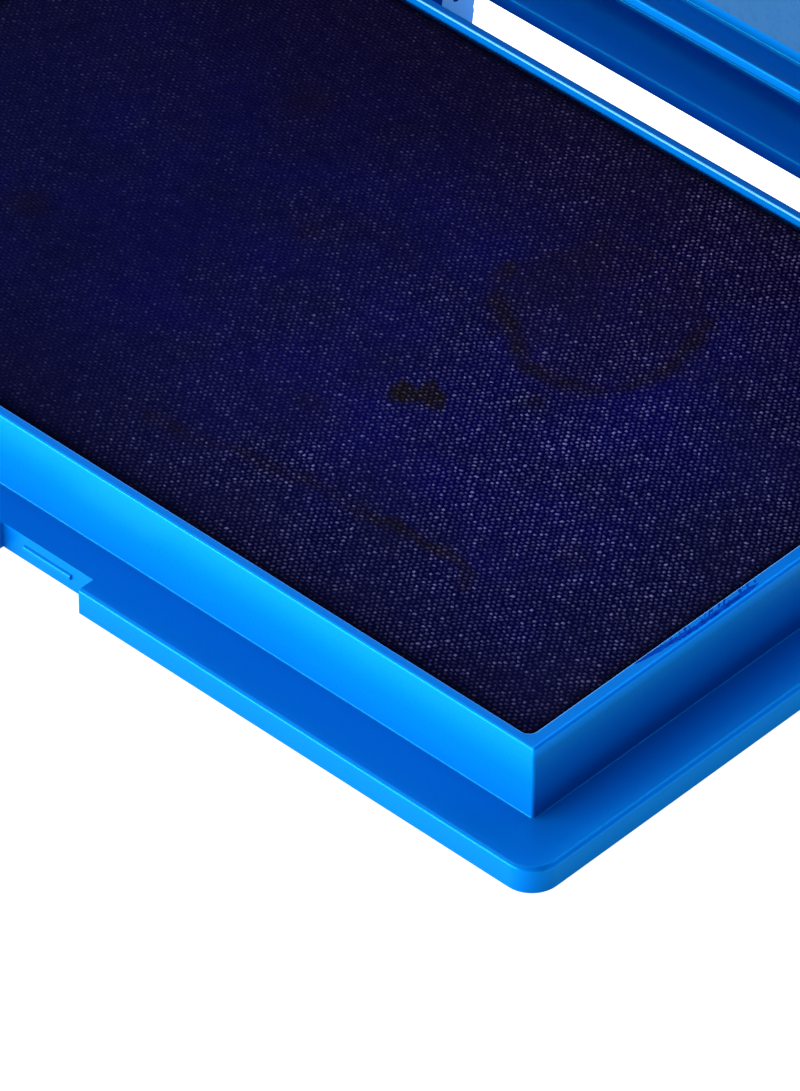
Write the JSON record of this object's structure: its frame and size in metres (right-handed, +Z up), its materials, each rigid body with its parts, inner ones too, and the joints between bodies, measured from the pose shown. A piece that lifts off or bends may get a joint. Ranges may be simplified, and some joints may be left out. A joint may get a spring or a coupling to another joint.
{
  "type": "ink pad",
  "caption": "Rectangular ink pad: a flanged tray with a raised wall round an inked woven pad, and a shallow hinged lid that closes over the wall.",
  "frame": {"origin": "middle of the tray's underside, on the plane that it stands on, where its two ribs cross", "axes": "+Z up; X along the long sides; the front, with the finger tab, faces -Y; the hinge is at +Y"},
  "size_m": [0.1236, 0.1162, 0.0893],
  "materials": {
    "blue_plastic": "satin moulded",
    "inked_cloth": "plain weave cotton, soaked with dark blue ink",
    "inked_felt": "felt soaked with ink",
    "board": "pressed grey board",
    "tape": "double-sided foam tape",
    "liner_film": "thin milky film",
    "label_paper": "blank coated label",
    "steel_pin": "drawn wire"
  },
  "bodies": {
    "tray": {"base_tray": "blue_plastic", "fixing_tape_left": "tape", "fixing_tape_right": "tape", "backing_board": "board", "reservoir_felt": "inked_felt", "wicking_felt": "inked_felt", "ink_cloth": "inked_cloth", "base_label": "label_paper", "hinge_pin_left": "steel_pin", "hinge_pin_right": "steel_pin"},
    "lid": {"lid_shell": "blue_plastic", "lid_liner": "liner_film", "lid_label": "label_paper"}
  },
  "joints": [
    {"name": "lid_hinge", "type": "hinge", "parent": "tray", "child": "lid", "pos_m": [0, 0.0439, 0.0051], "axis": [1, 0, 0], "range_deg": [0, 105]}
  ]
}
